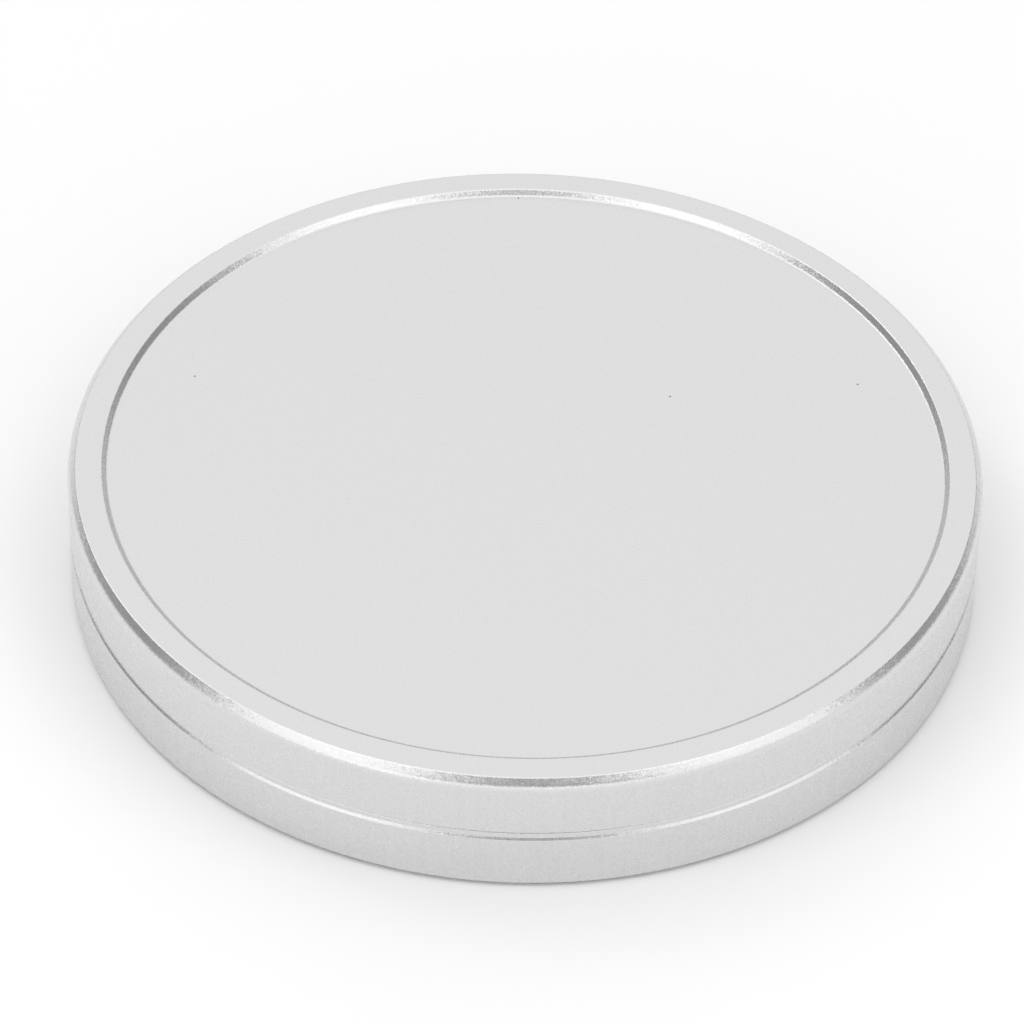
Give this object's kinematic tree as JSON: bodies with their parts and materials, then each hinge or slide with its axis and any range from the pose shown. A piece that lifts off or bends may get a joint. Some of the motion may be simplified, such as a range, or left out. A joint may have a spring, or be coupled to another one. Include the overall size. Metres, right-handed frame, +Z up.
{
  "type": "turntable display stand",
  "caption": "Low round metal turntable for displaying or painting models: a recessed plate that spins by hand on a sealed ball bearing in a matching base with rubber feet.",
  "frame": {"origin": "on the table under the spin axis, at the centre of the rubber feet's contact plane", "axes": "+Z up along the spin axis, +X and +Y between two neighbouring feet"},
  "size_m": [0.12, 0.12, 0.0184],
  "materials": {
    "anodised_aluminium": "fine bead blasted, clear anodised",
    "machined_aluminium": "turned, clear anodised",
    "bearing_steel": "ground and polished",
    "pressed_steel": "cold rolled, bright",
    "zinc_steel": "zinc plated",
    "black_plastic": "moulded, fine texture",
    "black_rubber": "matt silicone rubber"
  },
  "bodies": {
    "base": {"base_plate": "anodised_aluminium", "bearing_outer_ring": "bearing_steel", "bearing_shield_upper": "pressed_steel", "bearing_shield_lower": "pressed_steel", "bearing_retainer": "machined_aluminium", "retainer_screw_1": "zinc_steel", "retainer_screw_2": "zinc_steel", "retainer_screw_3": "zinc_steel", "retainer_screw_4": "zinc_steel", "cover_disc": "black_plastic", "foot_1": "black_rubber", "foot_2": "black_rubber", "foot_3": "black_rubber", "foot_4": "black_rubber"},
    "turntable": {"top_plate": "anodised_aluminium", "bearing_inner_ring": "bearing_steel", "clamp_disc": "zinc_steel", "clamp_screw": "zinc_steel"},
    "ball_cage": {"bearing_cage_upper": "pressed_steel", "bearing_cage_lower": "pressed_steel", "ball_1": "bearing_steel", "ball_2": "bearing_steel", "ball_3": "bearing_steel", "ball_4": "bearing_steel", "ball_5": "bearing_steel", "ball_6": "bearing_steel", "ball_7": "bearing_steel", "ball_8": "bearing_steel", "ball_9": "bearing_steel", "ball_10": "bearing_steel", "ball_11": "bearing_steel", "ball_12": "bearing_steel"}
  },
  "joints": [
    {"name": "turntable_spin", "type": "hinge", "parent": "base", "child": "turntable", "pos_m": [0, 0, 0.008], "axis": [0, 0, 1], "continuous": true},
    {"name": "ball_cage_spin", "type": "hinge", "parent": "base", "child": "ball_cage", "pos_m": [0, 0, 0.008], "axis": [0, 0, 1], "continuous": true}
  ],
  "couplings": [
    {"joint": "ball_cage_spin", "follows": "turntable_spin", "ratio": 0.43269}
  ]
}
